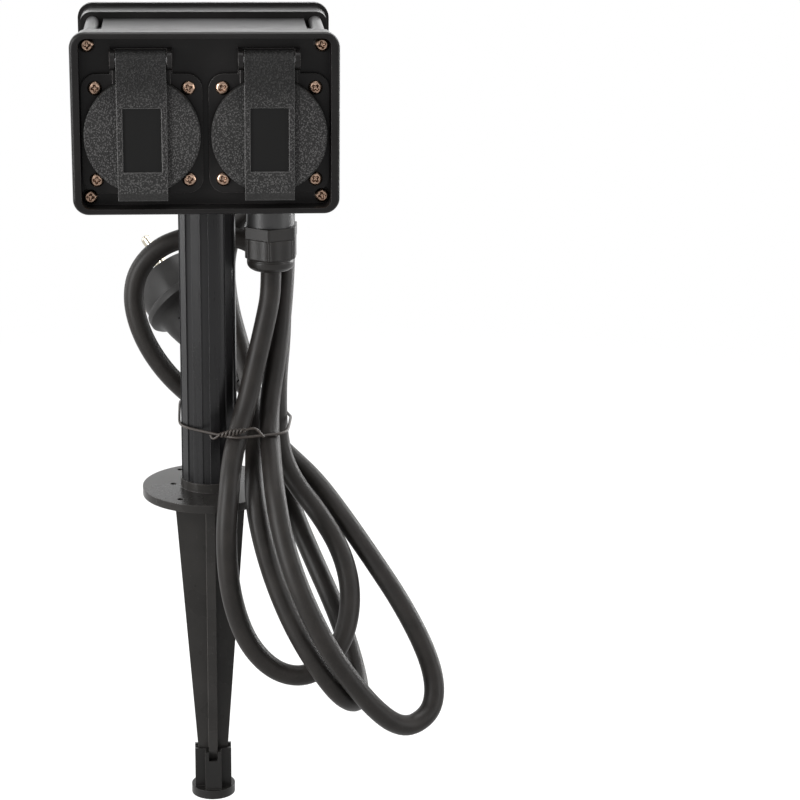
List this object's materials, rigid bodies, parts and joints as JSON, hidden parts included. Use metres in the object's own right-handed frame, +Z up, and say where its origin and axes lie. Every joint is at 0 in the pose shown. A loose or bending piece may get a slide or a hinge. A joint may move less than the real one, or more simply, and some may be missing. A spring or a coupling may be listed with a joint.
{
  "type": "garden socket post",
  "caption": "Garden power post: a two-sided box of lidded mains sockets on a round pole with a ground spike, and a looped supply cable with its plug tied to the pole.",
  "frame": {"origin": "centre of the underside of the ground disc, where the spike leaves it", "axes": "+Z up the pole, -Y out of the front socket panel, +X to the right seen from the front"},
  "size_m": [0.1567, 0.1727, 0.3569],
  "materials": {
    "box_plastic": "fine moulded grain, dark grey",
    "frame_plastic": "satin moulded black",
    "seal_rubber": "soft black",
    "nickel_screws": "bright nickel with a cross recess",
    "socket_plastic": "satin moulded black",
    "contact_brass": "bright strip",
    "pin_nickel": "bright nickel",
    "shutter_green": "dark green moulding",
    "lid_plastic": "pebbled dark grey",
    "lid_seal_grey": "smooth light grey",
    "hinge_steel": "drawn wire",
    "gland_plastic": "satin polyamide black",
    "pole_plastic": "extruded, half gloss",
    "spike_plastic": "moulded, half gloss",
    "cap_plastic": "moulded black",
    "cable_rubber": "dull rubber sheath",
    "core_insulation": "coloured core insulation",
    "plug_rubber": "dull moulded rubber",
    "earth_brass": "stamped strip",
    "tie_wire": "coated wire"
  },
  "bodies": {
    "post": {"junction_box": "box_plastic", "front_frame": "frame_plastic", "front_frame_gasket": "seal_rubber", "front_frame_screws": "nickel_screws", "flange_seals_front": "seal_rubber", "flange_screws_front": "nickel_screws", "centre_screws_front": "nickel_screws", "socket_faces_front": "socket_plastic", "guide_plates_front": "socket_plastic", "contact_blocks_front": "socket_plastic", "contacts_front": "contact_brass", "earth_pins_front": "pin_nickel", "base_front_left": "socket_plastic", "hinge_pin_front_left": "hinge_steel", "lid_spring_front_left": "hinge_steel", "base_front_right": "socket_plastic", "hinge_pin_front_right": "hinge_steel", "lid_spring_front_right": "hinge_steel", "rear_frame": "frame_plastic", "rear_frame_gasket": "seal_rubber", "rear_frame_screws": "nickel_screws", "flange_seals_rear": "seal_rubber", "flange_screws_rear": "nickel_screws", "centre_screws_rear": "nickel_screws", "socket_faces_rear": "socket_plastic", "guide_plates_rear": "socket_plastic", "contact_blocks_rear": "socket_plastic", "contacts_rear": "contact_brass", "earth_pins_rear": "pin_nickel", "base_rear_left": "socket_plastic", "hinge_pin_rear_left": "hinge_steel", "lid_spring_rear_left": "hinge_steel", "base_rear_right": "socket_plastic", "hinge_pin_rear_right": "hinge_steel", "lid_spring_rear_right": "hinge_steel", "gland_body": "gland_plastic", "gland_seal": "seal_rubber", "gland_nut": "gland_plastic", "pole": "pole_plastic", "ground_spike": "spike_plastic", "supply_tail": "cable_rubber", "wires": "core_insulation", "cable": "cable_rubber", "plug_body": "plug_rubber", "plug_pins": "pin_nickel", "plug_earth_clips": "earth_brass", "twist_tie": "tie_wire"},
    "lid_front_left": {"lid_front_left": "lid_plastic", "lid_seal_front_left": "lid_seal_grey"},
    "shutter_front_left": {"shutter_front_left": "shutter_green"},
    "lid_front_right": {"lid_front_right": "lid_plastic", "lid_seal_front_right": "lid_seal_grey"},
    "shutter_front_right": {"shutter_front_right": "shutter_green"},
    "lid_rear_left": {"lid_rear_left": "lid_plastic", "lid_seal_rear_left": "lid_seal_grey"},
    "shutter_rear_left": {"shutter_rear_left": "shutter_green"},
    "lid_rear_right": {"lid_rear_right": "lid_plastic", "lid_seal_rear_right": "lid_seal_grey"},
    "shutter_rear_right": {"shutter_rear_right": "shutter_green"},
    "spike_cap": {"spike_cap": "cap_plastic"}
  },
  "joints": [
    {"name": "lid_front_left_hinge", "type": "hinge", "parent": "post", "child": "lid_front_left", "pos_m": [-0.026, -0.0428, 0.1997], "axis": [-1, 0, 0], "range_deg": [0, 110], "stiffness_Nm_per_rad": 0.012, "springref_deg": -34.38},
    {"name": "shutter_front_left_slide", "type": "slide", "parent": "post", "child": "shutter_front_left", "axis": [0, 0, -1], "range_m": [0, 0.0062], "stiffness_N_per_m": 40, "springref_m": -0.003},
    {"name": "lid_front_right_hinge", "type": "hinge", "parent": "post", "child": "lid_front_right", "pos_m": [0.026, -0.0428, 0.1997], "axis": [-1, 0, 0], "range_deg": [0, 110], "stiffness_Nm_per_rad": 0.012, "springref_deg": -34.38},
    {"name": "shutter_front_right_slide", "type": "slide", "parent": "post", "child": "shutter_front_right", "axis": [0, 0, -1], "range_m": [0, 0.0062], "stiffness_N_per_m": 40, "springref_m": -0.003},
    {"name": "lid_rear_left_hinge", "type": "hinge", "parent": "post", "child": "lid_rear_left", "pos_m": [0.026, 0.0428, 0.1997], "axis": [1, 0, 0], "range_deg": [0, 110], "stiffness_Nm_per_rad": 0.012, "springref_deg": -34.38},
    {"name": "shutter_rear_left_slide", "type": "slide", "parent": "post", "child": "shutter_rear_left", "axis": [0, 0, -1], "range_m": [0, 0.0062], "stiffness_N_per_m": 40, "springref_m": -0.003},
    {"name": "lid_rear_right_hinge", "type": "hinge", "parent": "post", "child": "lid_rear_right", "pos_m": [-0.026, 0.0428, 0.1997], "axis": [1, 0, 0], "range_deg": [0, 110], "stiffness_Nm_per_rad": 0.012, "springref_deg": -34.38},
    {"name": "shutter_rear_right_slide", "type": "slide", "parent": "post", "child": "shutter_rear_right", "axis": [0, 0, -1], "range_m": [0, 0.0062], "stiffness_N_per_m": 40, "springref_m": -0.003},
    {"name": "spike_cap_slide", "type": "slide", "parent": "post", "child": "spike_cap", "axis": [0, 0, -1], "range_m": [0, 0.03]}
  ]
}
